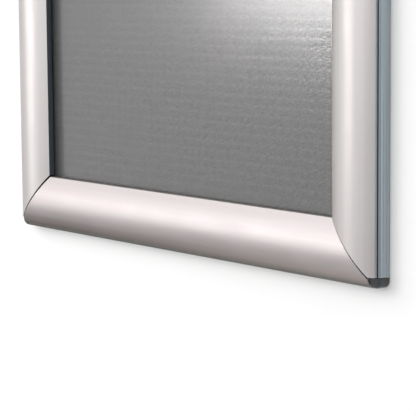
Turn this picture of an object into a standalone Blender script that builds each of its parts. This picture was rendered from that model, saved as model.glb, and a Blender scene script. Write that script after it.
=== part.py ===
# Snap-open poster frame for one A4 sheet, portrait, hung on a wall.
#
# Four base rails are joined at the corners by plastic connectors whose ends show as dark corner tips.
# Each base rail carries a convex snap rail on a hinge bead along its outer edge. Bowed leaf springs
# between the two rails throw the snap rail past dead centre, so it stays open or shut.
# The backing panel and the clear cover sheet lie on the floors of the base rails.
#
# Units are metres. X is to the right, Z is up and the front faces -Y. The wall is the plane Y = 0.
# A rail's section is drawn with an inset, measured inwards from the frame's outer edge, and a height,
# measured from the wall towards the viewer.

import bpy
import bmesh
from math import acos, asin, atan2, cos, pi, radians, sin, sqrt
from mathutils import Matrix, Vector

# Driving dimensions: the paper and what it sets
SHEET_WIDTH = 0.210
SHEET_HEIGHT = 0.297
SHEET_INSET = 0.015
FRAME_WIDTH = SHEET_WIDTH + 2 * SHEET_INSET
FRAME_HEIGHT = SHEET_HEIGHT + 2 * SHEET_INSET

# Driving dimensions: front of the snap rail
PROFILE_WIDTH = 0.0245
CROWN_HEIGHT = 0.00925
CROWN_INSET = 0.012
INNER_EDGE_HEIGHT = 0.0061
SKIN = 0.0011
LIP_WALL = 0.0011

# Driving dimensions: base rail
BASE_WIDTH = 0.022
FLOOR = 0.0011
SIDE_WALL = 0.0011
SIDE_WALL_HEIGHT = 0.00495
SHOULDER_RADIUS = 0.0009
SHELF = 0.0008
HINGE_WALL = 0.0006
RIB = 0.001
RIB_TO_SHEET = 0.0008
RIB_ABOVE_LEDGE = 0.0009
LEDGE = 0.0005
LEDGE_REACH = 0.001
LINE_DEPTH = 0.00012
LINE_WIDTH = 0.0004
LINE_HEIGHT_SHARES = (0.33, 0.66)

# Driving dimensions: hinge
BEAD_RADIUS = 0.0004
CLAW_WALL = 0.00055
NECK = 0.00045
NOSE_INSET = 0.0012
NECK_ANGLE = radians(325)
CLAW_START_ANGLE = radians(8)
CLAW_END_ANGLE = radians(192)
SEAT_START_ANGLE = radians(199.5)

# Driving dimensions: spring lever, leaf springs and screw holes
LEVER_INSET = 0.0049
LEVER = 0.0008
LEVER_END_TRIM = 0.003
FOOT = 0.00045
FOOT_REACH = 0.0008
LEAF = 0.0004
LEAF_WIDTH = 0.020
LEAF_RISE = 0.0037
LEAF_FROM_CORNER = 0.055
SCREW_HOLE_RADIUS = 0.0022
SCREW_FROM_CORNER = 0.038
SCREW_INSET = 0.0085

# Driving dimensions: corner connector
TIP_SIZE = 0.004
TIP_CORNER_RADIUS = 0.0028
TIP_DROP = 0.0003
LEG = 0.0012
LEG_LENGTH = 0.030
LEG_END_CHAMFER = 0.0015
LEG_RIM = 0.0012

# Driving dimensions: panel and cover sheet
PANEL = 0.0006
COVER = 0.0005
SHEET_CORNER_RADIUS = 0.002

# Clearances
GAP = 0.0003
LIP_CLEARANCE = 0.0007
MITRE_GAP = 0.0004
HINGE_CLEARANCE = 0.00015
SWING_CLEARANCE = 0.00025
LEVER_CLEARANCE = 0.00035
OVERRUN = 0.002
WELD = 0.000001

# Facets of the round stretches
FINE_STEP = radians(12)
BROAD_STEPS = 16
CORNER_STEPS = 8
LEAF_STEPS = 18
HOLE_SIDES = 24
SMOOTH_ANGLE = radians(30)

# Places worked out from the sizes above
CLAW_INNER_RADIUS = BEAD_RADIUS + HINGE_CLEARANCE
CLAW_OUTER_RADIUS = CLAW_INNER_RADIUS + CLAW_WALL
SEAT_RADIUS = CLAW_OUTER_RADIUS + SWING_CLEARANCE
AXIS_INSET = NOSE_INSET + CLAW_OUTER_RADIUS
AXIS_HEIGHT = SIDE_WALL_HEIGHT - SEAT_RADIUS * sin(SEAT_START_ANGLE)
SHELF_UNDERSIDE = AXIS_HEIGHT - SEAT_RADIUS - SHELF
HINGE_WALL_INSET = AXIS_INSET + SEAT_RADIUS + HINGE_WALL
RIB_INSET = SHEET_INSET - RIB_TO_SHEET - RIB
LEG_BOTTOM = FLOOR + GAP
LEG_TOP = LEG_BOTTOM + LEG
LEDGE_BOTTOM = LEG_TOP + GAP
LEDGE_TOP = LEDGE_BOTTOM + LEDGE
FOOT_BOTTOM = LEG_TOP + LEVER_CLEARANCE
FOOT_TOP = FOOT_BOTTOM + FOOT
PANEL_BOTTOM = FLOOR + GAP
COVER_BOTTOM = PANEL_BOTTOM + PANEL + GAP
LIP_BOTTOM = COVER_BOTTOM + COVER + LIP_CLEARANCE
SQUARE_CUT = TIP_SIZE + GAP

# The origin is the middle of the top base rail's back face
FRAME_CENTRE = Vector((0.0, 0.0, (BASE_WIDTH - FRAME_HEIGHT) / 2))

# Axes of an outline: a section lies across a rail, a plan lies on the wall
SECTION_AXES = Matrix(((0, 0, 1, 0), (0, -1, 0, 0), (1, 0, 0, 0), (0, 0, 0, 1)))
PLAN_AXES = Matrix(((1, 0, 0, 0), (0, 0, -1, 0), (0, 1, 0, 0), (0, 0, 0, 1)))

# Each side is the bottom side turned about the frame's centre
SIDES = {
    "bottom": (radians(0), FRAME_WIDTH, FRAME_HEIGHT),
    "right": (radians(-90), FRAME_HEIGHT, FRAME_WIDTH),
    "top": (radians(180), FRAME_WIDTH, FRAME_HEIGHT),
    "left": (radians(90), FRAME_HEIGHT, FRAME_WIDTH),
}

# Each corner is the bottom left corner turned the same way: left is -1, bottom is -1
CORNERS = {
    "bottom_left": (radians(0), -1, -1),
    "bottom_right": (radians(-90), 1, -1),
    "top_right": (radians(180), 1, 1),
    "top_left": (radians(90), -1, 1),
}


def clear_scene():
    """Start from an empty scene."""
    for item in list(bpy.data.objects):
        bpy.data.objects.remove(item, do_unlink=True)


def new_collection(name):
    """Collection linked to the scene."""
    collection = bpy.data.collections.new(name)
    bpy.context.scene.collection.children.link(collection)
    return collection


def new_material(name, colour, roughness, metallic, alpha=1.0):
    """Principled material of one colour."""
    material = bpy.data.materials.new(name)
    material.use_nodes = True
    shader = material.node_tree.nodes["Principled BSDF"]
    shader.inputs["Base Color"].default_value = (*colour, 1.0)
    shader.inputs["Roughness"].default_value = roughness
    shader.inputs["Metallic"].default_value = metallic
    shader.inputs["Alpha"].default_value = alpha
    material.diffuse_color = (*colour, alpha)
    return material


def arc(centre, radius, start, end, steps):
    """Points of a round stretch, both ends included."""
    angles = [start + (end - start) * step / steps for step in range(steps + 1)]
    return [(centre[0] + radius * cos(angle), centre[1] + radius * sin(angle)) for angle in angles]


def fine_steps(start, end):
    """Number of facets for a small round stretch."""
    return max(2, round(abs(end - start) / FINE_STEP))


def prism(name, outline, depth, axes, centre=0.0):
    """Closed mesh of a flat outline extruded by depth, its middle at centre along the third axis."""
    curve = bpy.data.curves.new(name + "_outline", "CURVE")
    curve.dimensions = "2D"
    curve.fill_mode = "BOTH"
    curve.extrude = depth / 2
    spline = curve.splines.new("POLY")
    spline.points.add(len(outline) - 1)
    for point, (across, up) in zip(spline.points, outline):
        point.co = (across, up, 0.0, 1.0)
    spline.use_cyclic_u = True
    drawn = bpy.data.objects.new(name + "_outline", curve)
    bpy.context.scene.collection.objects.link(drawn)
    drawn.matrix_world = axes @ Matrix.Translation((0.0, 0.0, centre))
    evaluated = drawn.evaluated_get(bpy.context.evaluated_depsgraph_get())
    mesh = bpy.data.meshes.new_from_object(evaluated)
    mesh.name = name
    mesh.transform(drawn.matrix_world)
    bpy.data.objects.remove(drawn, do_unlink=True)
    solid = bmesh.new()
    solid.from_mesh(mesh)
    bmesh.ops.remove_doubles(solid, verts=solid.verts, dist=WELD)
    bmesh.ops.recalc_face_normals(solid, faces=solid.faces)
    solid.to_mesh(mesh)
    solid.free()
    mesh.shade_smooth()
    mesh.set_sharp_from_angle(angle=SMOOTH_ANGLE)
    return mesh


def place(name, mesh, collection, material=None, parent=None, location=(0.0, 0.0, 0.0)):
    """Named object of a mesh."""
    item = bpy.data.objects.new(name, mesh)
    collection.objects.link(item)
    item.parent = parent
    item.location = location
    if material:
        item.data.materials.clear()
        item.data.materials.append(material)
    return item


def place_cutter(name, mesh, collection, parent=None, location=(0.0, 0.0, 0.0)):
    """Object that only shapes another."""
    cutter = place(name, mesh, collection, None, parent, location)
    cutter.hide_render = True
    cutter.display_type = "WIRE"
    return cutter


def combine(item, other, operation):
    """Boolean of one object with another."""
    modifier = item.modifiers.new(operation.lower() + "_" + other.name, "BOOLEAN")
    modifier.operation = operation
    modifier.solver = "EXACT"
    modifier.object = other


def turned_empty(name, collection, location, angle):
    """Empty that carries the pieces of one side or corner."""
    empty = bpy.data.objects.new(name, None)
    collection.objects.link(empty)
    empty.location = location
    empty.rotation_euler = (0.0, angle, 0.0)
    empty.empty_display_size = TIP_SIZE
    return empty


def front_arcs():
    """Centres, radii and end angles of the two arcs that make the front of a snap rail."""
    run = CROWN_INSET - AXIS_INSET
    rise = CROWN_HEIGHT - AXIS_HEIGHT
    outer_radius = (run ** 2 + rise ** 2 - CLAW_OUTER_RADIUS ** 2) / (2 * (rise - CLAW_OUTER_RADIUS))
    outer_centre = (CROWN_INSET, CROWN_HEIGHT - outer_radius)
    outer_angle = atan2(AXIS_HEIGHT - outer_centre[1], AXIS_INSET - outer_centre[0])
    width = PROFILE_WIDTH - CROWN_INSET
    drop = CROWN_HEIGHT - INNER_EDGE_HEIGHT
    inner_radius = (width ** 2 + drop ** 2) / (2 * drop)
    inner_centre = (CROWN_INSET, CROWN_HEIGHT - inner_radius)
    return outer_centre, outer_radius, outer_angle, inner_centre, inner_radius


def height_on_arc(inset, centre, radius):
    """Height of a front arc at an inset."""
    return centre[1] + sqrt(radius ** 2 - (inset - centre[0]) ** 2)


def snap_rail_outline():
    """Section of the convex front: claw round the bead, skin, and lip down to the cover sheet."""
    outer_centre, outer_radius, outer_angle, inner_centre, inner_radius = front_arcs()
    axis = (AXIS_INSET, AXIS_HEIGHT)
    edge_angle = acos((PROFILE_WIDTH - inner_centre[0]) / inner_radius)
    lip_inset = PROFILE_WIDTH - LIP_WALL
    lip_angle = acos((lip_inset - inner_centre[0]) / (inner_radius - SKIN))
    root_inset = AXIS_INSET + CLAW_OUTER_RADIUS
    root_angle = acos((root_inset - outer_centre[0]) / (outer_radius - SKIN))
    nose_steps = fine_steps(CLAW_END_ANGLE, outer_angle)
    claw_steps = fine_steps(CLAW_START_ANGLE, CLAW_END_ANGLE)

    outline = arc(axis, CLAW_OUTER_RADIUS, CLAW_END_ANGLE, outer_angle, nose_steps)
    outline += arc(outer_centre, outer_radius, outer_angle, pi / 2, BROAD_STEPS)[1:]
    outline += arc(inner_centre, inner_radius, pi / 2, edge_angle, BROAD_STEPS)[1:]
    outline += [(PROFILE_WIDTH, LIP_BOTTOM), (lip_inset, LIP_BOTTOM)]
    outline += arc(inner_centre, inner_radius - SKIN, lip_angle, pi / 2, BROAD_STEPS)
    outline += arc(outer_centre, outer_radius - SKIN, pi / 2, root_angle, BROAD_STEPS)[1:]
    outline += arc(axis, CLAW_INNER_RADIUS, CLAW_START_ANGLE, CLAW_END_ANGLE, claw_steps)
    return outline


def lever_outline():
    """Section of the lever under the skin, with the foot that the spring stands on."""
    outer_centre, outer_radius = front_arcs()[:2]
    back = LEVER_INSET + LEVER
    return [
        (LEVER_INSET, height_on_arc(LEVER_INSET, outer_centre, outer_radius) - SKIN / 2),
        (LEVER_INSET, FOOT_BOTTOM),
        (back + FOOT_REACH, FOOT_BOTTOM),
        (back + FOOT_REACH, FOOT_TOP),
        (back, FOOT_TOP),
        (back, height_on_arc(back, outer_centre, outer_radius) - SKIN / 2),
    ]


def neck_point(radius, side):
    """Point on one side of the neck, at a distance from the hinge axis: side 1 is the upper one."""
    along = Vector((cos(NECK_ANGLE), sin(NECK_ANGLE)))
    across = Vector((-sin(NECK_ANGLE), cos(NECK_ANGLE))) * side
    point = Vector((AXIS_INSET, AXIS_HEIGHT))
    point += along * sqrt(radius ** 2 - (NECK / 2) ** 2) + across * (NECK / 2)
    return point.x, point.y


def base_rail_outline():
    """Section of the base rail: floor, rib, side wall, shelf and hinge bead."""
    axis = (AXIS_INSET, AXIS_HEIGHT)
    half_neck_at_bead = asin(NECK / 2 / BEAD_RADIUS)
    half_neck_at_seat = asin(NECK / 2 / SEAT_RADIUS)
    bead_start = NECK_ANGLE + half_neck_at_bead
    bead_end = NECK_ANGLE - half_neck_at_bead + 2 * pi
    seat_end = NECK_ANGLE - half_neck_at_seat
    upper_root = neck_point(SEAT_RADIUS, 1)

    outline = [
        (0.0, 0.0),
        (BASE_WIDTH, 0.0),
        (BASE_WIDTH, FLOOR),
        (RIB_INSET + RIB, FLOOR),
        (RIB_INSET + RIB, LEDGE_TOP + RIB_ABOVE_LEDGE),
        (RIB_INSET, LEDGE_TOP + RIB_ABOVE_LEDGE),
        (RIB_INSET, LEDGE_TOP),
        (RIB_INSET - LEDGE_REACH, LEDGE_TOP),
        (RIB_INSET - LEDGE_REACH, LEDGE_BOTTOM),
        (RIB_INSET, LEDGE_BOTTOM),
        (RIB_INSET, FLOOR),
        (SIDE_WALL, FLOOR),
        (SIDE_WALL, SHELF_UNDERSIDE),
        (HINGE_WALL_INSET, SHELF_UNDERSIDE),
        (HINGE_WALL_INSET, upper_root[1]),
        upper_root,
    ]
    outline += arc(axis, BEAD_RADIUS, bead_start, bead_end, fine_steps(bead_start, bead_end))
    outline += arc(axis, SEAT_RADIUS, seat_end, SEAT_START_ANGLE, fine_steps(seat_end, SEAT_START_ANGLE))
    shoulder = (SHOULDER_RADIUS, SIDE_WALL_HEIGHT - SHOULDER_RADIUS)
    outline += arc(shoulder, SHOULDER_RADIUS, pi / 2, pi, fine_steps(pi / 2, pi))
    for share in reversed(LINE_HEIGHT_SHARES):
        middle = SIDE_WALL_HEIGHT * share
        outline += [
            (0.0, middle + LINE_WIDTH / 2),
            (LINE_DEPTH, middle),
            (0.0, middle - LINE_WIDTH / 2),
        ]
    return outline


def mitre_outline(direction):
    """Plan of what is cut off a rail's end: square at the corner tip, then at 45 degrees."""
    shift = MITRE_GAP / sqrt(2)
    far = PROFILE_WIDTH + OVERRUN
    corners = [
        (-OVERRUN, -OVERRUN),
        (SQUARE_CUT, -OVERRUN),
        (SQUARE_CUT, SQUARE_CUT - shift),
        (far, far - shift),
        (-OVERRUN, far - shift),
    ]
    return [(direction * across, up) for across, up in corners]


def build_rails(parts, cutters, materials):
    """Base rails and snap rails of the four sides."""
    cut_depth = CROWN_HEIGHT + 2 * OVERRUN
    mitres = {}
    for end, direction in (("start", 1), ("finish", -1)):
        outline = mitre_outline(direction)
        mitres[direction] = prism("mitre_" + end, outline, cut_depth, PLAN_AXES, CROWN_HEIGHT / 2)
    hole_outline = arc((0.0, 0.0), SCREW_HOLE_RADIUS, 0.0, 2 * pi, HOLE_SIDES)[:-1]
    hole = prism("screw_hole", hole_outline, FLOOR + 2 * OVERRUN, PLAN_AXES, FLOOR / 2)

    meshes = {}
    for side, (angle, length, span) in SIDES.items():
        if length not in meshes:
            lever_length = length - 2 * (LEVER_INSET + LEVER + FOOT_REACH + LEVER_END_TRIM)
            snap = prism("snap_rail_section", snap_rail_outline(), length, SECTION_AXES)
            lever = prism("lever_section", lever_outline(), lever_length, SECTION_AXES)
            to_axis = Matrix.Translation((0.0, AXIS_HEIGHT, -AXIS_INSET))
            snap.transform(to_axis)
            lever.transform(to_axis)
            base = prism("base_rail_section", base_rail_outline(), length, SECTION_AXES)
            meshes[length] = (base, snap, lever)
        base, snap, lever = meshes[length]
        carrier = turned_empty("side_" + side, parts, FRAME_CENTRE, angle)
        edge = -span / 2
        hinge = (0.0, -AXIS_HEIGHT, edge + AXIS_INSET)

        base_rail = place("base_rail_" + side, base, parts, materials["base"], carrier, (0.0, 0.0, edge))
        snap_rail = place("snap_rail_" + side, snap, parts, materials["front"], carrier, hinge)
        combine(snap_rail, place_cutter("lever_" + side, lever, cutters, carrier, hinge), "UNION")
        for direction, mesh in mitres.items():
            corner = (-direction * length / 2, 0.0, edge)
            name = mesh.name + "_" + side
            cutter = place_cutter(name, mesh, cutters, carrier, corner)
            combine(snap_rail, cutter, "DIFFERENCE")
            combine(base_rail, cutter, "DIFFERENCE")
            if side in ("bottom", "top"):
                along = direction * (SCREW_FROM_CORNER - length / 2)
                spot = (along, 0.0, edge + SCREW_INSET)
                drill = place_cutter("screw_hole_" + side, hole, cutters, carrier, spot)
                combine(base_rail, drill, "DIFFERENCE")


def leaf_outline():
    """Section of a leaf spring, bowed from the lever's foot to the rib's ledge."""
    lever_end = Vector((LEVER_INSET + LEVER + GAP + LEAF / 2, FOOT_TOP + GAP))
    rib_end = Vector((RIB_INSET - GAP - LEAF / 2, LEDGE_TOP + GAP))
    chord = rib_end - lever_end
    radius = (chord.length ** 2 / 4 + LEAF_RISE ** 2) / (2 * LEAF_RISE)
    half_turn = 2 * atan2(LEAF_RISE, chord.length / 2)
    crown = Vector((-chord.y, chord.x)).normalized()
    centre = (lever_end + rib_end) / 2 + crown * (LEAF_RISE - radius)
    middle = atan2(crown.y, crown.x)
    outline = arc(centre, radius + LEAF / 2, middle + half_turn, middle - half_turn, LEAF_STEPS)
    outline += arc(centre, radius - LEAF / 2, middle - half_turn, middle + half_turn, LEAF_STEPS)
    return outline


def build_springs(parts, material):
    """Two leaf springs on each side, one near each corner."""
    leaf = prism("leaf_section", leaf_outline(), LEAF_WIDTH, SECTION_AXES)
    for side, (angle, length, span) in SIDES.items():
        carrier = bpy.data.objects["side_" + side]
        for number, direction in ((1, -1), (2, 1)):
            along = direction * (length / 2 - LEAF_FROM_CORNER)
            name = "leaf_spring_" + side + "_" + str(number)
            place(name, leaf, parts, material, carrier, (along, 0.0, -span / 2))


def leg_outline(length, width, chamfer):
    """Plan of an L with two equal legs, from the inner face of the side walls."""
    near = SIDE_WALL + GAP
    wide = near + width
    return [
        (near, near),
        (length - chamfer, near),
        (length, near + chamfer),
        (length, wide - chamfer),
        (length - chamfer, wide),
        (wide, wide),
        (wide, length - chamfer),
        (wide - chamfer, length),
        (near + chamfer, length),
        (near, length - chamfer),
    ]


def tip_plan_outline():
    """Plan of the corner tip: a square with its outer corner rounded off."""
    centre = (TIP_CORNER_RADIUS, TIP_CORNER_RADIUS)
    outline = arc(centre, TIP_CORNER_RADIUS, pi, 3 * pi / 2, CORNER_STEPS)
    outline += [(TIP_SIZE, 0.0), (TIP_SIZE, TIP_SIZE), (0.0, TIP_SIZE)]
    return outline


def tip_section_outline():
    """Section that the corner tip shares with both snap rails, a little below their front."""
    outer_centre, outer_radius = front_arcs()[:2]
    centre = (outer_centre[0], outer_centre[1] - TIP_DROP)
    start_angle = acos(-centre[0] / outer_radius)
    end_angle = acos((SQUARE_CUT + OVERRUN - centre[0]) / outer_radius)
    outline = [(0.0, 0.0)]
    outline += arc(centre, outer_radius, start_angle, end_angle, CORNER_STEPS)
    outline += [(SQUARE_CUT + OVERRUN, 0.0)]
    return outline


def build_connectors(parts, cutters, material):
    """Plastic corner connectors: L-shaped legs in the rails' channels and the tip that shows."""
    leg_width = RIB_INSET - SIDE_WALL - 2 * GAP
    rim_top = SHELF_UNDERSIDE - GAP
    tip = prism("corner_tip", tip_plan_outline(), CROWN_HEIGHT, PLAN_AXES, CROWN_HEIGHT / 2)
    legs = leg_outline(LEG_LENGTH, leg_width, LEG_END_CHAMFER)
    flat = prism("connector_legs", legs, LEG, PLAN_AXES, LEG_BOTTOM + LEG / 2)
    near = SIDE_WALL + GAP
    rim_end = LEG_LENGTH - LEG_END_CHAMFER
    rim_outline = [
        (near, near),
        (rim_end, near),
        (rim_end, near + LEG_RIM),
        (near + LEG_RIM, near + LEG_RIM),
        (near + LEG_RIM, rim_end),
        (near, rim_end),
    ]
    rim_height = rim_top - LEG_BOTTOM
    rim = prism("connector_rim", rim_outline, rim_height, PLAN_AXES, LEG_BOTTOM + rim_height / 2)
    section = tip_section_outline()
    along = prism("tip_along", section, 2 * SQUARE_CUT + 2 * OVERRUN, SECTION_AXES)
    across = along.copy()
    across.transform(Matrix.Rotation(radians(-90), 4, "Y") @ Matrix.Diagonal((1, 1, -1, 1)))
    across.flip_normals()

    for corner, (angle, right, up) in CORNERS.items():
        spot = FRAME_CENTRE + Vector((right * FRAME_WIDTH / 2, 0.0, up * FRAME_HEIGHT / 2))
        carrier = turned_empty("corner_" + corner, parts, spot, angle)
        connector = place("corner_connector_" + corner, tip, parts, material, carrier)
        for name, mesh, operation in (
            ("tip_along_", along, "INTERSECT"),
            ("tip_across_", across, "INTERSECT"),
            ("connector_legs_", flat, "UNION"),
            ("connector_rim_", rim, "UNION"),
        ):
            combine(connector, place_cutter(name + corner, mesh, cutters, carrier), operation)


def sheet_outline():
    """A4 outline with rounded corners, about its middle."""
    across = SHEET_WIDTH / 2 - SHEET_CORNER_RADIUS
    up = SHEET_HEIGHT / 2 - SHEET_CORNER_RADIUS
    outline = []
    for quarter, (right, high) in enumerate(((1, 1), (-1, 1), (-1, -1), (1, -1))):
        start = quarter * pi / 2
        centre = (right * across, high * up)
        outline += arc(centre, SHEET_CORNER_RADIUS, start, start + pi / 2, CORNER_STEPS)
    return outline


def build_sheets(parts, materials):
    """Backing panel on the floors of the base rails, and the clear sheet in front of it."""
    panel = prism("panel_plate", sheet_outline(), PANEL, PLAN_AXES, PANEL_BOTTOM + PANEL / 2)
    place("back_panel", panel, parts, materials["panel"], None, FRAME_CENTRE)
    cover = prism("cover_plate", sheet_outline(), COVER, PLAN_AXES, COVER_BOTTOM + COVER / 2)
    place("cover_sheet", cover, parts, materials["cover"], None, FRAME_CENTRE)


def build_frame():
    """Whole poster frame."""
    clear_scene()
    parts = new_collection("poster_frame")
    cutters = new_collection("poster_frame_cutters")
    materials = {
        "front": new_material("satin_anodised_front", (0.72, 0.68, 0.68), 0.34, 1.0),
        "base": new_material("anodised_base", (0.36, 0.42, 0.46), 0.42, 1.0),
        "corner": new_material("dark_grey_plastic", (0.045, 0.047, 0.05), 0.38, 0.0),
        "spring": new_material("spring_steel", (0.56, 0.57, 0.58), 0.3, 1.0),
        "panel": new_material("grey_backing", (0.19, 0.19, 0.185), 0.45, 0.0),
        "cover": new_material("clear_matt_sheet", (0.9, 0.9, 0.9), 0.2, 0.0, 0.2),
    }
    build_rails(parts, cutters, materials)
    build_springs(parts, materials["spring"])
    build_connectors(parts, cutters, materials["corner"])
    build_sheets(parts, materials)


build_frame()
print("outer size", round(FRAME_WIDTH, 4), round(FRAME_HEIGHT, 4), "depth", round(CROWN_HEIGHT, 5))
print("hinge axis inset", round(AXIS_INSET, 6), "height", round(AXIS_HEIGHT, 6))
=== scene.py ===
import math

import bmesh
import bpy
from mathutils import Matrix, Vector


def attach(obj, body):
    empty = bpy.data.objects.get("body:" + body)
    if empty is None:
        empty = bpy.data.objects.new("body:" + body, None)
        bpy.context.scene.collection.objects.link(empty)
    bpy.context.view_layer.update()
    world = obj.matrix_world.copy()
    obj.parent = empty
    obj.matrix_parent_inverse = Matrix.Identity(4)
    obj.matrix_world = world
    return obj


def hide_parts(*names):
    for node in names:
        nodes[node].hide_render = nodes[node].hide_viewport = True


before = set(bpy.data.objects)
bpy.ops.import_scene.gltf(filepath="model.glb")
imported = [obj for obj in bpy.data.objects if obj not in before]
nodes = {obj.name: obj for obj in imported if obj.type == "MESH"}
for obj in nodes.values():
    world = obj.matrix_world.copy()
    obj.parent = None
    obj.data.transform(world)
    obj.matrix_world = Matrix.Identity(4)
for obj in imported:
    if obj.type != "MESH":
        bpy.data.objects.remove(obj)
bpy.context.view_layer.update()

# Camera, in the part's frame: place in metres, angles in degrees and shift in picture widths

FOCAL_PIXELS = 1752.8
PICTURE_PIXELS = 416.0
SENSOR_MM = 36.0
PICTURE_SHIFT = -0.0433
CAMERA_PLACE = (0.57641, -0.45289, -0.20299)
CAMERA_YAW = 51.182
CAMERA_PITCH = 6.759
CAMERA_ROLL = -0.476

# Wall and floor: places in metres, and the shade of the paint below and above its change; the
# wall's grey lower part is painted shade

WALL_GAP = 0.0003
WALL_OVERLAP = 0.001
WALL_HALF_WIDTH = 1.2
WALL_TOP = 1.2
WALL_WHITE_DOWN_TO = -0.43
WALL_PAINTED_SHADE_BELOW = -0.52
WALL_SHADES = (0.28, 0.90)
FLOOR_SHADES = (0.70, 0.70)
FLOOR_LEVEL = -1.3
FLOOR_HALF_WIDTH = 0.9
FLOOR_DEPTH = 1.5

# Lamps: place, aim, width and height in metres, power in watts, colour, and whether gloss shows it.
# The soft box shows in the panel and the window in the crowns of the rails.

WHITE = (1.0, 1.0, 1.0)
WARM_WHITE = (1.0, 0.985, 0.98)
COLD_WHITE = (0.97, 0.985, 1.0)
LAMPS = (
    ("soft_box", (-1.71, -1.74, -0.20), (0.0, 0.0, -0.2), (0.40, 0.10), 3.1, WARM_WHITE, True),
    ("window", (-0.35, -2.45, 0.3), (0.0, 0.0, -0.2), (0.9, 0.6), 3.1, COLD_WHITE, True),
    ("key", (-1.7, -1.5, 0.9), (0.0, 0.0, -0.15), (1.6, 1.6), 31.0, WHITE, False),
    ("front", (0.3, -2.2, -0.3), (0.0, 0.0, -0.2), (2.0, 2.0), 10.3, WHITE, False),
)

# Light of the room: brightness by the rise of the direction, which leans to the left by the tilt

ROOM_TILT = 0.15
ROOM_TONE = (1.0, 0.99, 0.985)
ROOM = (
    (-0.60, 0.12),
    (-0.35, 0.14),
    (-0.20, 0.27),
    (-0.12, 0.48),
    (-0.03, 0.72),
    (0.10, 0.72),
    (0.20, 0.78),
    (0.35, 0.98),
    (0.75, 1.00),
    (1.00, 0.50),
)

# Sizes of the part that the finer pieces repeat, in metres

FRAME_WIDTH = 0.240
FRAME_HEIGHT = 0.327
FRAME_CENTRE = Vector((0.0, 0.0, -0.1525))
PROFILE_WIDTH = 0.0245
CROWN_HEIGHT = 0.00925
CROWN_INSET = 0.012
INNER_EDGE_HEIGHT = 0.0061
SKIN = 0.0011
LIP_WALL = 0.0011
LIP_BOTTOM = 0.0035
CLAW_INNER_RADIUS = 0.00055
CLAW_OUTER_RADIUS = 0.0011
AXIS = (0.0023, 0.005401)
CLAW_START = math.radians(8.0)
CLAW_END = math.radians(192.0)
LEVER_INSET = 0.0049
LEVER_BACK = 0.0057
LEVER_TRIM = 0.003
FOOT_END = 0.0065
FOOT_BOTTOM = 0.00295
FOOT_TOP = 0.0034
TIP_SIZE = 0.004
TIP_RADIUS = 0.0028
TIP_DROP = 0.0003
TIP_BLEND = 0.0026
TIP_TOP_FILLET = 0.0010
TIP_INNER_FILLET = 0.00015
SQUARE_CUT = 0.0043
LEG_NEAR = 0.0014
LEG_WIDTH = 0.0115
LEG_LENGTH = 0.030
LEG_CHAMFER = 0.0015
LEG_BOTTOM = 0.0014
LEG_TOP = 0.0026
RIM = 0.0012
RIM_TOP = 0.00295

# Width of each mitre joint at the outer and at the inner end, in metres

MITRES = {
    "bottom_left": (0.00016, 0.00100),
    "bottom_right": (0.00064, 0.00006),
    "top_right": (0.00030, 0.00022),
    "top_left": (0.00030, 0.00034),
}

# Angle about Y, length and the corners at the start and the finish of each side

RAILS = {
    "bottom": (0.0, FRAME_WIDTH, FRAME_HEIGHT, "bottom_left", "bottom_right"),
    "right": (-90.0, FRAME_HEIGHT, FRAME_WIDTH, "bottom_right", "top_right"),
    "top": (180.0, FRAME_WIDTH, FRAME_HEIGHT, "top_right", "top_left"),
    "left": (90.0, FRAME_HEIGHT, FRAME_WIDTH, "top_left", "bottom_left"),
}
CORNERS = {
    "bottom_left": (0.0, -1, -1),
    "bottom_right": (-90.0, 1, -1),
    "top_right": (180.0, 1, 1),
    "top_left": (90.0, -1, 1),
}

# Steps of the round stretches, and the angle from which an edge is sharp

FINE_STEP = math.radians(6.0)
BROAD_STEPS = 40
TIP_STEPS = 26
SHARP_ANGLE = math.radians(35.0)

# How far a face looks outwards to count as nose, inwards as lip, or across the rail as mitre cut;
# these faces get darker copies of the finish as painted shade

NOSE_STEEP = 0.86
LIP_STEEP = 0.90
CUT_STEEP = 0.10

# Painted shade of the top and bottom fronts from the outer edge inwards, over a width in metres

OUTER_PAINTED_SHADE_WIDTH = 0.009
OUTER_PAINTED_SHADES = [
    (0.10, (0.41, 0.41, 0.37, 1.0)),
    (0.38, (0.78, 0.75, 0.73, 1.0)),
    (0.75, (1.0, 1.0, 1.0, 1.0)),
]

# Embossing of the panel: pitches in metres, then where each form fades and ends, in pitches. The
# dashes are no relief but painted glints at the top rim of each pad

PATTERN_WIDE = 0.0047
PATTERN_HIGH = 0.0039
PAD_EDGE = (0.30, 0.44)
DOT_EDGE = (0.06, 0.16)
DASH_UP = 0.36
DASH_HALF_HEIGHT = (0.05, 0.13)
DASH_HALF_LENGTH = (0.26, 0.36)

# Depth of the fine relief of metal and plastic, and of the panel's gloss coat, in metres

FINE_RELIEF = 0.00003
COAT_RELIEF = 0.0000065


def new_material(name):
    """A node material with its shader, its node tree and its object coordinates."""
    material = bpy.data.materials.new(name)
    material.use_nodes = True
    tree = material.node_tree
    shader = tree.nodes["Principled BSDF"]
    coordinates = tree.nodes.new("ShaderNodeTexCoord").outputs["Object"]
    return material, tree, shader, coordinates


def stretched(tree, coordinates, scale):
    """The coordinates times one factor for each axis."""
    mapping = tree.nodes.new("ShaderNodeMapping")
    mapping.inputs["Scale"].default_value = scale
    tree.links.new(coordinates, mapping.inputs["Vector"])
    return mapping.outputs["Vector"]


def noise(tree, vector, scale, detail=2.0):
    """A noise value between about 0.3 and 0.7."""
    texture = tree.nodes.new("ShaderNodeTexNoise")
    texture.inputs["Scale"].default_value = scale
    texture.inputs["Detail"].default_value = detail
    tree.links.new(vector, texture.inputs["Vector"])
    return texture.outputs["Fac"]


def ramp(tree, value, stops):
    """A colour that follows a value through (place, colour) stops."""
    node = tree.nodes.new("ShaderNodeValToRGB")
    band = node.color_ramp
    band.elements[0].position, band.elements[0].color = stops[0]
    band.elements[1].position, band.elements[1].color = stops[-1]
    for place, colour in stops[1:-1]:
        band.elements.new(place).color = colour
    tree.links.new(value, node.inputs["Fac"])
    return node.outputs["Color"]


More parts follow.
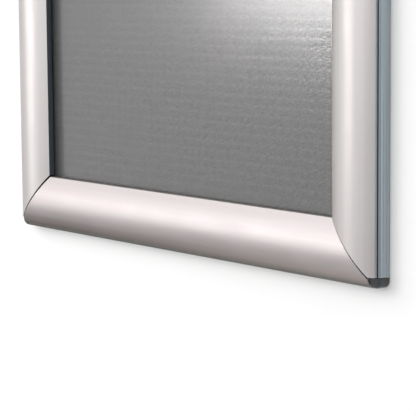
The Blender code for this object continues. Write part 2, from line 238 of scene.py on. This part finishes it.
def spread(tree, value, low, high, start=0.3, end=0.7):
    """A value moved from the range start to end into the range low to high."""
    node = tree.nodes.new("ShaderNodeMapRange")
    node.inputs["From Min"].default_value = start
    node.inputs["From Max"].default_value = end
    node.inputs["To Min"].default_value = low
    node.inputs["To Max"].default_value = high
    tree.links.new(value, node.inputs["Value"])
    return node.outputs["Result"]


def maths(tree, operation, first, second=None):
    """A Math node with links or plain numbers as its inputs."""
    node = tree.nodes.new("ShaderNodeMath")
    node.operation = operation
    for socket, given in zip(node.inputs, (first, second)):
        if given is None:
            continue
        if isinstance(given, (int, float)):
            socket.default_value = given
        else:
            tree.links.new(given, socket)
    return node.outputs["Value"]


def bump(tree, shader, height, distance, strength, socket="Normal"):
    """Links a height to one of the shader's normals through a Bump node."""
    node = tree.nodes.new("ShaderNodeBump")
    node.inputs["Distance"].default_value = distance
    node.inputs["Strength"].default_value = strength
    tree.links.new(height, node.inputs["Height"])
    tree.links.new(node.outputs["Normal"], shader.inputs[socket])


def anodised(name, along, tones, roughness, edge):
    """Satin anodised aluminium with die lines and soft colour bands along one axis.

    The edge colour darkens the reflection at a grazing angle: a painted dark reflection.
    """
    material, tree, shader, coordinates = new_material(name)
    fine, slow = [220.0] * 3, [26.0] * 3
    fine["XYZ".index(along)] = 2.0
    slow["XYZ".index(along)] = 0.8
    bands = noise(tree, stretched(tree, coordinates, slow), 9.0, 2.0)
    grain = noise(tree, stretched(tree, coordinates, fine), 14.0, 3.0)
    cloud = noise(tree, coordinates, 60.0, 3.0)
    stops = [(0.34 + 0.32 * k / (len(tones) - 1), tone) for k, tone in enumerate(tones)]
    tree.links.new(ramp(tree, bands, stops), shader.inputs["Base Color"])
    lines, spots = maths(tree, "MULTIPLY", grain, 0.6), maths(tree, "MULTIPLY", cloud, 0.4)
    rough = spread(tree, maths(tree, "ADD", lines, spots), roughness - 0.04, roughness + 0.05)
    tree.links.new(rough, shader.inputs["Roughness"])
    bump(tree, shader, grain, FINE_RELIEF, 0.35)
    shader.inputs["Metallic"].default_value = 1.0
    shader.inputs["Specular Tint"].default_value = edge
    return material


def multiplied(tree, colour, shade):
    """A colour times a shade."""
    mix = tree.nodes.new("ShaderNodeMix")
    mix.data_type = "RGBA"
    mix.blend_type = "MULTIPLY"
    mix.inputs["Factor"].default_value = 1.0
    tree.links.new(colour, mix.inputs["A"])
    tree.links.new(shade, mix.inputs["B"])
    return mix.outputs["Result"]


def paint_shade_outwards(material):
    """Painted shade, deeper towards the outer edge of the top and the bottom side."""
    tree = material.node_tree
    shader = tree.nodes["Principled BSDF"]
    base = shader.inputs["Base Color"]
    parts = tree.nodes.new("ShaderNodeSeparateXYZ")
    coordinates = tree.nodes.new("ShaderNodeTexCoord").outputs["Object"]
    tree.links.new(coordinates, parts.inputs["Vector"])
    height = maths(tree, "ABSOLUTE", maths(tree, "SUBTRACT", parts.outputs["Z"], FRAME_CENTRE.z))
    inset = maths(tree, "SUBTRACT", FRAME_HEIGHT / 2, height)
    shade = ramp(tree, spread(tree, inset, 0.0, 1.0, 0.0, OUTER_PAINTED_SHADE_WIDTH), OUTER_PAINTED_SHADES)
    tree.links.new(multiplied(tree, base.links[0].from_socket, shade), base)


def moulded_plastic():
    """Dark grey moulded plastic, fine grained and slightly glossy."""
    material, tree, shader, coordinates = new_material("corner_plastic")
    grain = noise(tree, coordinates, 2600.0, 3.0)
    cloud = noise(tree, coordinates, 240.0, 3.0)
    stops = [(0.35, (0.055, 0.059, 0.062, 1.0)), (0.65, (0.080, 0.084, 0.088, 1.0))]
    tree.links.new(ramp(tree, cloud, stops), shader.inputs["Base Color"])
    tree.links.new(spread(tree, cloud, 0.30, 0.42), shader.inputs["Roughness"])
    bump(tree, shader, grain, FINE_RELIEF, 0.4)
    shader.inputs["Specular IOR Level"].default_value = 0.25
    return material


def spring_steel():
    """Bare steel strip with rolling marks and darker heat tint here and there."""
    material, tree, shader, coordinates = new_material("spring_steel")
    marks = noise(tree, stretched(tree, coordinates, (60.0, 60.0, 900.0)), 8.0, 3.0)
    stain = noise(tree, coordinates, 180.0, 4.0)
    stops = [(0.36, (0.38, 0.37, 0.35, 1.0)), (0.60, (0.58, 0.58, 0.58, 1.0))]
    tree.links.new(ramp(tree, stain, stops), shader.inputs["Base Color"])
    tree.links.new(spread(tree, marks, 0.25, 0.40), shader.inputs["Roughness"])
    bump(tree, shader, marks, FINE_RELIEF, 0.4)
    shader.inputs["Metallic"].default_value = 1.0
    return material


def embossed_panel():
    """Grey plastic sheet with rows of low round pads, dots between them and a grain, and light
    dashes painted as glints at the top rim of each pad.
    """
    material, tree, shader, coordinates = new_material("panel_plastic")
    parts = tree.nodes.new("ShaderNodeSeparateXYZ")
    tree.links.new(coordinates, parts.inputs["Vector"])
    wide = maths(tree, "DIVIDE", parts.outputs["X"], PATTERN_WIDE)
    high = maths(tree, "DIVIDE", parts.outputs["Z"], PATTERN_HIGH)

    def distance(offset):
        """How far a point is from the nearest pattern centre, in pitches."""
        east = maths(tree, "PINGPONG", maths(tree, "ADD", wide, offset), 0.5)
        north = maths(tree, "PINGPONG", maths(tree, "ADD", high, offset), 0.5)
        squares = maths(
            tree, "ADD", maths(tree, "MULTIPLY", east, east), maths(tree, "MULTIPLY", north, north)
        )
        return maths(tree, "SQRT", squares)

    pads = spread(tree, distance(0.0), 1.0, 0.0, *PAD_EDGE)
    dots = spread(tree, distance(0.5), 0.8, 0.0, *DOT_EDGE)
    grain = noise(tree, stretched(tree, coordinates, (0.85, 1.0, 1.0)), 1700.0, 2.0)
    relief = maths(tree, "ADD", maths(tree, "ADD", pads, dots), maths(tree, "MULTIPLY", grain, 2.4))
    bump(tree, shader, relief, FINE_RELIEF, 1.0)
    bump(tree, shader, relief, COAT_RELIEF, 1.0, "Coat Normal")

    east = maths(tree, "PINGPONG", wide, 0.5)
    share = maths(tree, "FRACT", maths(tree, "ADD", high, 0.5))
    north = maths(tree, "ABSOLUTE", maths(tree, "SUBTRACT", share, 0.5 + DASH_UP))
    dash_high = spread(tree, north, 1.0, 0.0, *DASH_HALF_HEIGHT)
    dash_wide = spread(tree, east, 1.0, 0.0, *DASH_HALF_LENGTH)
    glint_dashes = maths(tree, "MULTIPLY", dash_high, dash_wide)
    # The dashes are painted glints; the dots are lightened with them.
    painted_glints_and_dots = maths(tree, "MULTIPLY", maths(tree, "ADD", glint_dashes, dots), 0.3)
    level = maths(tree, "ADD", painted_glints_and_dots, spread(tree, grain, -0.08, 0.94))
    cloud = noise(tree, coordinates, 22.0, 2.0)
    tint = ramp(
        tree,
        cloud,
        [
            (0.36, (0.045, 0.051, 0.049, 1.0)),
            (0.50, (0.051, 0.051, 0.049, 1.0)),
            (0.62, (0.057, 0.049, 0.051, 1.0)),
        ],
    )
    shade = ramp(tree, level, [(0.0, (0.0, 0.0, 0.0, 1.0)), (1.0, (1.0, 1.0, 1.0, 1.0))])
    tree.links.new(multiplied(tree, tint, shade), shader.inputs["Base Color"])
    tree.links.new(spread(tree, grain, 0.30, 0.46), shader.inputs["Roughness"])
    shader.inputs["Coat Weight"].default_value = 1.0
    shader.inputs["Coat Roughness"].default_value = 0.17
    shader.inputs["Coat IOR"].default_value = 1.8
    return material


def cover_plastic():
    """Clear plastic sheet with a fine anti-glare haze."""
    material, tree, shader, coordinates = new_material("cover_plastic")
    haze = noise(tree, coordinates, 900.0, 3.0)
    tree.links.new(spread(tree, haze, 0.34, 0.46), shader.inputs["Roughness"])
    bump(tree, shader, haze, 0.00004, 0.3)
    stops = [(0.35, (0.84, 0.86, 0.87, 1.0)), (0.65, (0.90, 0.90, 0.90, 1.0))]
    tree.links.new(ramp(tree, haze, stops), shader.inputs["Base Color"])
    shader.inputs["Alpha"].default_value = 0.04
    return material


def arc(centre, radius, start, end, steps=None):
    """Points of a round stretch, both ends included."""
    count = steps or max(2, round(abs(end - start) / FINE_STEP))
    angles = [start + (end - start) * step / count for step in range(count + 1)]
    return [(centre[0] + radius * math.cos(a), centre[1] + radius * math.sin(a)) for a in angles]


def front_arcs():
    """Centre and radius of the outer and of the inner arc of the convex front."""
    run = CROWN_INSET - AXIS[0]
    rise = CROWN_HEIGHT - AXIS[1]
    outer = (run ** 2 + rise ** 2 - CLAW_OUTER_RADIUS ** 2) / (2 * (rise - CLAW_OUTER_RADIUS))
    width = PROFILE_WIDTH - CROWN_INSET
    drop = CROWN_HEIGHT - INNER_EDGE_HEIGHT
    inner = (width ** 2 + drop ** 2) / (2 * drop)
    return (CROWN_INSET, CROWN_HEIGHT - outer), outer, (CROWN_INSET, CROWN_HEIGHT - inner), inner


def arc_height(inset, centre, radius):
    """Height of a front arc at an inset."""
    return centre[1] + math.sqrt(radius ** 2 - (inset - centre[0]) ** 2)


def front_outline():
    """Section of the convex front with its claw and lip."""
    outer_centre, outer, inner_centre, inner = front_arcs()
    nose = math.atan2(AXIS[1] - outer_centre[1], AXIS[0] - outer_centre[0])
    lip = PROFILE_WIDTH - LIP_WALL
    root = math.acos((AXIS[0] + CLAW_OUTER_RADIUS - outer_centre[0]) / (outer - SKIN))
    edge = math.acos((PROFILE_WIDTH - inner_centre[0]) / inner)
    lip_angle = math.acos((lip - inner_centre[0]) / (inner - SKIN))
    top = math.pi / 2
    outline = arc(AXIS, CLAW_OUTER_RADIUS, CLAW_END, nose)
    outline += arc(outer_centre, outer, nose, top, BROAD_STEPS)[1:]
    outline += arc(inner_centre, inner, top, edge, BROAD_STEPS)[1:]
    outline += [(PROFILE_WIDTH, LIP_BOTTOM), (lip, LIP_BOTTOM)]
    outline += arc(inner_centre, inner - SKIN, lip_angle, top, BROAD_STEPS)
    outline += arc(outer_centre, outer - SKIN, top, root, BROAD_STEPS)[1:]
    outline += arc(AXIS, CLAW_INNER_RADIUS, CLAW_START, CLAW_END)
    return outline


def lever_outline():
    """Section of the lever under the front, with its foot."""
    outer_centre, outer = front_arcs()[:2]
    return [
        (LEVER_INSET, arc_height(LEVER_INSET, outer_centre, outer) - SKIN / 2),
        (LEVER_INSET, FOOT_BOTTOM),
        (FOOT_END, FOOT_BOTTOM),
        (FOOT_END, FOOT_TOP),
        (LEVER_BACK, FOOT_TOP),
        (LEVER_BACK, arc_height(LEVER_BACK, outer_centre, outer) - SKIN / 2),
    ]


def extrude(solid, outline, length):
    """Adds a bar along X: a section point is an inset along Z and a height against Y."""
    rings = []
    for across in (-length / 2, length / 2):
        rings.append([solid.verts.new((across, -height, inset)) for inset, height in outline])
    faces = [solid.faces.new(rings[0]), solid.faces.new(list(reversed(rings[1])))]
    for k in range(len(outline)):
        after = (k + 1) % len(outline)
        faces.append(solid.faces.new((rings[0][after], rings[0][k], rings[1][k], rings[1][after])))
    return faces


def cut_off(solid, place, normal):
    """Cuts away what lies behind a plane and closes the cut."""
    everything = solid.verts[:] + solid.edges[:] + solid.faces[:]
    cut = bmesh.ops.bisect_plane(
        solid, geom=everything, plane_co=place, plane_no=normal, clear_inner=True, dist=1e-7
    )
    edges = [item for item in cut["geom_cut"] if isinstance(item, bmesh.types.BMEdge)]
    bmesh.ops.edgeloop_fill(solid, edges=edges)


def finished(name, solid, turn, centre, *materials):
    """Object of a mesh that is turned about Y and moved into place."""
    bmesh.ops.recalc_face_normals(solid, faces=solid.faces)
    mesh = bpy.data.meshes.new(name)
    solid.to_mesh(mesh)
    solid.free()
    mesh.transform(Matrix.Translation(centre) @ Matrix.Rotation(math.radians(turn), 4, "Y"))
    for material in materials:
        mesh.materials.append(material)
    mesh.shade_smooth()
    mesh.set_sharp_from_angle(angle=SHARP_ANGLE)
    piece = bpy.data.objects.new(name, mesh)
    bpy.context.scene.collection.objects.link(piece)
    return piece


def build_front(side, *finishes):
    """The convex front of one side with mitred ends: materials of face, lip, nose and cuts; nose,
    cuts and the side fronts' lips get darker copies as painted shade.
    """
    turn, length, across, first, last = RAILS[side]
    solid = bmesh.new()
    extrude(solid, front_outline(), length)
    for direction, corner in ((1, first), (-1, last)):
        outer_gap, inner_gap = (gap / math.sqrt(2.0) for gap in MITRES[corner])
        end = -direction * length / 2
        cut_off(solid, (end + direction * SQUARE_CUT, 0.0, 0.0), (direction, 0.0, 0.0))
        lean = (PROFILE_WIDTH + inner_gap - outer_gap) / PROFILE_WIDTH
        cut_off(solid, (end + direction * outer_gap, 0.0, 0.0), (direction, 0.0, -lean))
    lever = bmesh.new()
    trimmed = length - 2 * (LEVER_BACK + LEVER_TRIM)
    extrude(lever, lever_outline(), trimmed)
    lever_mesh = bpy.data.meshes.new("lever_" + side)
    lever.to_mesh(lever_mesh)
    lever.free()
    solid.from_mesh(lever_mesh)
    bpy.data.meshes.remove(lever_mesh)
    bmesh.ops.translate(solid, verts=solid.verts, vec=(0.0, 0.0, -across / 2))
    piece = finished("convex_front_" + side, solid, turn, FRAME_CENTRE, *finishes)
    outward = Matrix.Rotation(math.radians(turn), 3, "Y") @ Vector((0.0, 0.0, -1.0))
    # Faces looking outwards, inwards or across the rail get the darker copies: painted shade on
    # nose, lip and mitre cuts.
    for face in piece.data.polygons:
        facing = face.normal.dot(outward)
        if facing > NOSE_STEEP:
            face.material_index = 2
        elif facing < -LIP_STEEP:
            face.material_index = 1
        elif abs(face.normal.y) < CUT_STEEP and abs(facing) > CUT_STEEP:
            face.material_index = 3
    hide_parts("snap_rail_" + side)
    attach(piece, side + "_rail")


def tip_height(along, up):
    """Height of the corner tip: both fronts run into each other in one soft dome."""
    centre, radius = front_arcs()[:2]
    first, second = (arc_height(value, centre, radius) - TIP_DROP for value in (along, up))
    near = max(TIP_BLEND - abs(first - second), 0.0) / TIP_BLEND
    height = min(first, second) - near ** 2 * TIP_BLEND / 4
    if along < TIP_RADIUS and up < TIP_RADIUS:
        from_edge = TIP_RADIUS - math.hypot(TIP_RADIUS - along, TIP_RADIUS - up)
    else:
        from_edge = min(along, up)
    from_rails = TIP_SIZE - max(along, up)
    for distance, fillet in ((from_edge, TIP_TOP_FILLET), (from_rails, TIP_INNER_FILLET)):
        if distance < fillet:
            height -= fillet - math.sqrt(max(fillet ** 2 - (fillet - distance) ** 2, 0.0))
    return height


def add_tip(solid):
    """The corner tip as one closed dome with a rounded outer corner."""
    last = TIP_STEPS
    shares = [(1.0 - math.cos(math.pi * k / last)) / 2.0 for k in range(last + 1)]
    top, bottom = [], []
    for v in shares:
        up = v * TIP_SIZE
        start = 0.0
        if up < TIP_RADIUS:
            start = TIP_RADIUS - math.sqrt(TIP_RADIUS ** 2 - (TIP_RADIUS - up) ** 2)
        row = [start + u * (TIP_SIZE - start) for u in shares]
        top.append([solid.verts.new((along, -tip_height(along, up), up)) for along in row])
        bottom.append([solid.verts.new((along, 0.0, up)) for along in row])
    for grid in (top, bottom):
        for j in range(last):
            for k in range(last):
                solid.faces.new((grid[j][k], grid[j][k + 1], grid[j + 1][k + 1], grid[j + 1][k]))
    for j in range(last):
        for k in (0, last):
            solid.faces.new((top[j][k], top[j + 1][k], bottom[j + 1][k], bottom[j][k]))
            solid.faces.new((top[k][j], top[k][j + 1], bottom[k][j + 1], bottom[k][j]))


def add_plate(solid, outline, low, high):
    """A flat plate from its plan: a point is a distance along X and one along Z."""
    rings = []
    for level in (low, high):
        rings.append([solid.verts.new((along, -level, up)) for along, up in outline])
    solid.faces.new(rings[0])
    solid.faces.new(list(reversed(rings[1])))
    for k in range(len(outline)):
        after = (k + 1) % len(outline)
        solid.faces.new((rings[0][after], rings[0][k], rings[1][k], rings[1][after]))


def build_corner(corner, material):
    """Corner connector: the tip that shows and the L-shaped legs in the rails."""
    turn, right, high = CORNERS[corner]
    near, wide = LEG_NEAR, LEG_NEAR + LEG_WIDTH
    legs = [
        (near, near),
        (LEG_LENGTH - LEG_CHAMFER, near),
        (LEG_LENGTH, near + LEG_CHAMFER),
        (LEG_LENGTH, wide - LEG_CHAMFER),
        (LEG_LENGTH - LEG_CHAMFER, wide),
        (wide, wide),
        (wide, LEG_LENGTH - LEG_CHAMFER),
        (wide - LEG_CHAMFER, LEG_LENGTH),
        (near + LEG_CHAMFER, LEG_LENGTH),
        (near, LEG_LENGTH - LEG_CHAMFER),
    ]
    rim_end = LEG_LENGTH - LEG_CHAMFER
    rim = [
        (near, near),
        (rim_end, near),
        (rim_end, near + RIM),
        (near + RIM, near + RIM),
        (near + RIM, rim_end),
        (near, rim_end),
    ]
    solid = bmesh.new()
    add_tip(solid)
    add_plate(solid, legs, LEG_BOTTOM, LEG_TOP)
    add_plate(solid, rim, LEG_BOTTOM, RIM_TOP)
    bmesh.ops.remove_doubles(solid, verts=solid.verts, dist=1e-7)
    spot = FRAME_CENTRE + Vector((right * FRAME_WIDTH / 2, 0.0, high * FRAME_HEIGHT / 2))
    piece = finished("corner_piece_" + corner, solid, turn, spot, material)
    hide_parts("corner_connector_" + corner)
    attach(piece, "frame")


def assign(material, *names):
    """Gives one material to CAD nodes."""
    for name in names:
        for slot in nodes[name].material_slots:
            slot.material = material


def dress_nodes():
    """Finer fronts and corner pieces, and procedural materials for the other nodes."""
    # The top and bottom fronts get brighter tones than the side fronts: lit and shaded copies of
    # one finish, painted light.
    warm = {
        "X": [
            (0.87, 0.81, 0.81, 1.0),
            (0.90, 0.825, 0.84, 1.0),
            (0.89, 0.845, 0.835, 1.0),
            (0.91, 0.83, 0.835, 1.0),
        ],
        "Z": [
            (0.80, 0.77, 0.76, 1.0),
            (0.83, 0.78, 0.79, 1.0),
            (0.82, 0.81, 0.79, 1.0),
            (0.84, 0.79, 0.79, 1.0),
        ],
    }
    # Darker, cooler copies for the base rails: painted shade, bluer on the side rails.
    base_shade_tones = {
        "X": [(0.34, 0.34, 0.33, 1.0), (0.37, 0.37, 0.36, 1.0), (0.36, 0.36, 0.34, 1.0)],
        "Z": [(0.40, 0.46, 0.50, 1.0), (0.43, 0.50, 0.54, 1.0), (0.41, 0.48, 0.52, 1.0)],
    }
    # Darker copies for the noses: painted shade.
    nose_shade_tones = {
        "X": [(0.27, 0.26, 0.24, 1.0), (0.30, 0.29, 0.27, 1.0)],
        "Z": [(0.30, 0.33, 0.37, 1.0), (0.34, 0.37, 0.41, 1.0)],
    }
    # Dark slate copy for the lips of the side fronts: painted shade.
    shaded = [(0.16, 0.20, 0.25, 1.0), (0.21, 0.24, 0.28, 1.0), (0.18, 0.22, 0.27, 1.0)]
    # Near black for the mitre cuts: painted shadow in the joints.
    gap_shadow_tones = [(0.03, 0.03, 0.03, 1.0), (0.05, 0.05, 0.05, 1.0), (0.04, 0.04, 0.04, 1.0)]
    # Specular Tint darkens the gloss at a grazing angle: a painted dark reflection, nearly black on
    # the top and bottom fronts.
    edges = {"X": (0.05, 0.04, 0.03, 1.0), "Z": (0.65, 0.63, 0.62, 1.0)}
    satin = {"X": 0.46, "Z": 0.42}
    for along, sides in (("X", ("bottom", "top")), ("Z", ("left", "right"))):
        edge, axis = edges[along], along.lower()
        snap = anodised("snap_anodised_" + axis, along, warm[along], satin[along], edge)
        base = anodised("base_painted_shade_" + axis, along, base_shade_tones[along], 0.42, edge)
        nose = anodised("nose_painted_shade_" + axis, along, nose_shade_tones[along], 0.46, edge)
        lip = anodised("lip_painted_shade", along, shaded, 0.46, edge) if along == "Z" else snap
        cut = anodised("cut_painted_shadow_" + axis, along, gap_shadow_tones, 0.50, edge)
        # Painted shade towards the outer edge of the top and bottom fronts.
        if along == "X":
            paint_shade_outwards(snap)
        for side in sides:
            build_front(side, snap, lip, nose, cut)
        assign(base, *["base_rail_" + side for side in sides])
    plastic = moulded_plastic()
    for corner in CORNERS:
        build_corner(corner, plastic)
    assign(spring_steel(), *[f"leaf_spring_{side}_{k}" for side in RAILS for k in (1, 2)])
    assign(embossed_panel(), "back_panel")
    assign(cover_plastic(), "cover_sheet")


def stage_piece(name, points, faces, material):
    """A flat stage piece from its points and faces."""
    mesh = bpy.data.meshes.new(name)
    mesh.from_pydata(points, [], faces)
    mesh.materials.append(material)
    piece = bpy.data.objects.new(name, mesh)
    bpy.context.scene.collection.objects.link(piece)


def paint(name, shades):
    """Matt paint with a lower and an upper shade, see-through from its back side; the wall's grey
    lower shade is painted shade.
    """
    material, tree, shader, coordinates = new_material(name)
    grain = noise(tree, coordinates, 900.0, 3.0)
    shader.inputs["Roughness"].default_value = 0.9
    shader.inputs["Specular IOR Level"].default_value = 0.1
    bump(tree, shader, grain, 0.00005, 0.1)
    parts = tree.nodes.new("ShaderNodeSeparateXYZ")
    tree.links.new(coordinates, parts.inputs["Vector"])
    upper = spread(tree, parts.outputs["Z"], 0.0, 1.0, WALL_PAINTED_SHADE_BELOW, WALL_WHITE_DOWN_TO)
    stops = [(place, (shade, shade, shade, 1.0)) for place, shade in zip((0.0, 1.0), shades)]
    tree.links.new(ramp(tree, upper, stops), shader.inputs["Base Color"])
    clear = tree.nodes.new("ShaderNodeBsdfTransparent")
    mix = tree.nodes.new("ShaderNodeMixShader")
    side = tree.nodes.new("ShaderNodeNewGeometry")
    output = tree.nodes["Material Output"]
    tree.links.new(side.outputs["Backfacing"], mix.inputs["Fac"])
    tree.links.new(shader.outputs["BSDF"], mix.inputs[1])
    tree.links.new(clear.outputs["BSDF"], mix.inputs[2])
    tree.links.new(mix.outputs["Shader"], output.inputs["Surface"])
    return material


def build_stage():
    """A white wall round the frame, open behind it, and a pale floor below."""
    wide = WALL_HALF_WIDTH
    half = FRAME_WIDTH / 2 - WALL_OVERLAP
    low = FRAME_CENTRE.z - FRAME_HEIGHT / 2 + WALL_OVERLAP
    high = FRAME_CENTRE.z + FRAME_HEIGHT / 2 - WALL_OVERLAP
    border = [(-wide, FLOOR_LEVEL), (wide, FLOOR_LEVEL), (wide, WALL_TOP), (-wide, WALL_TOP)]
    opening = [(-half, low), (half, low), (half, high), (-half, high)]
    points = [(x, WALL_GAP, z) for x, z in border + opening]
    around = [(k, (k + 1) % 4, (k + 1) % 4 + 4, k + 4) for k in range(4)]
    stage_piece("wall", points, around, paint("wall_paint", WALL_SHADES))
    wide = FLOOR_HALF_WIDTH
    floor = [(-wide, -FLOOR_DEPTH, FLOOR_LEVEL), (wide, -FLOOR_DEPTH, FLOOR_LEVEL)]
    floor += [(wide, WALL_GAP, FLOOR_LEVEL), (-wide, WALL_GAP, FLOOR_LEVEL)]
    stage_piece("floor", floor, [(0, 1, 2, 3)], paint("floor_paint", FLOOR_SHADES))


def area_light(name, place, aim, size, power, colour, mirrored):
    """A soft rectangular lamp that faces a point."""
    data = bpy.data.lights.new(name, "AREA")
    data.shape = "RECTANGLE"
    data.size, data.size_y = size
    data.energy = power
    data.color = colour
    lamp = bpy.data.objects.new(name, data)
    lamp.location = place
    away = Vector(place) - Vector(aim)
    lamp.rotation_mode = "QUATERNION"
    lamp.rotation_quaternion = away.to_track_quat("Z", "Y")
    lamp.visible_glossy = mirrored
    bpy.context.scene.collection.objects.link(lamp)


def build_lights():
    """The lamps, and a room that is light above and dim below."""
    for lamp in LAMPS:
        area_light(*lamp)
    world = bpy.data.worlds.new("room")
    bpy.context.scene.world = world
    world.use_nodes = True
    tree = world.node_tree
    background = tree.nodes["Background"]
    direction = tree.nodes.new("ShaderNodeTexCoord").outputs["Generated"]
    parts = tree.nodes.new("ShaderNodeSeparateXYZ")
    tree.links.new(direction, parts.inputs["Vector"])
    leftward = maths(tree, "MULTIPLY", parts.outputs["X"], -ROOM_TILT)
    rise = maths(tree, "ADD", parts.outputs["Z"], leftward)
    level = spread(tree, rise, 0.0, 1.0, -1.0, 1.0)
    stops = []
    for place, value in ROOM:
        stops.append(((1.0 + place) / 2.0, (*[value * tone for tone in ROOM_TONE], 1.0)))
    tree.links.new(ramp(tree, level, stops), background.inputs["Color"])


def build_camera():
    """The camera that was fitted to the photograph's edges."""
    yaw, pitch, roll = (math.radians(a) for a in (CAMERA_YAW, CAMERA_PITCH, CAMERA_ROLL))
    forward = Vector(
        (-math.sin(yaw) * math.cos(pitch), math.cos(yaw) * math.cos(pitch), -math.sin(pitch))
    )
    level = Vector((math.cos(yaw), math.sin(yaw), 0.0))
    upright = level.cross(forward)
    right = level * math.cos(roll) + upright * math.sin(roll)
    up = upright * math.cos(roll) - level * math.sin(roll)
    data = bpy.data.cameras.new("camera")
    data.sensor_width = SENSOR_MM
    data.lens = FOCAL_PIXELS / PICTURE_PIXELS * SENSOR_MM
    data.shift_y = PICTURE_SHIFT
    camera = bpy.data.objects.new("camera", data)
    bpy.context.scene.collection.objects.link(camera)
    turn = Matrix((right, up, -forward)).transposed().to_4x4()
    camera.matrix_world = Matrix.Translation(CAMERA_PLACE) @ turn
    data.clip_start = 0.01
    data.clip_end = 30.0
    bpy.context.scene.camera = camera


build_camera()
build_stage()
build_lights()
dress_nodes()
bpy.context.scene.view_settings.view_transform = "Standard"
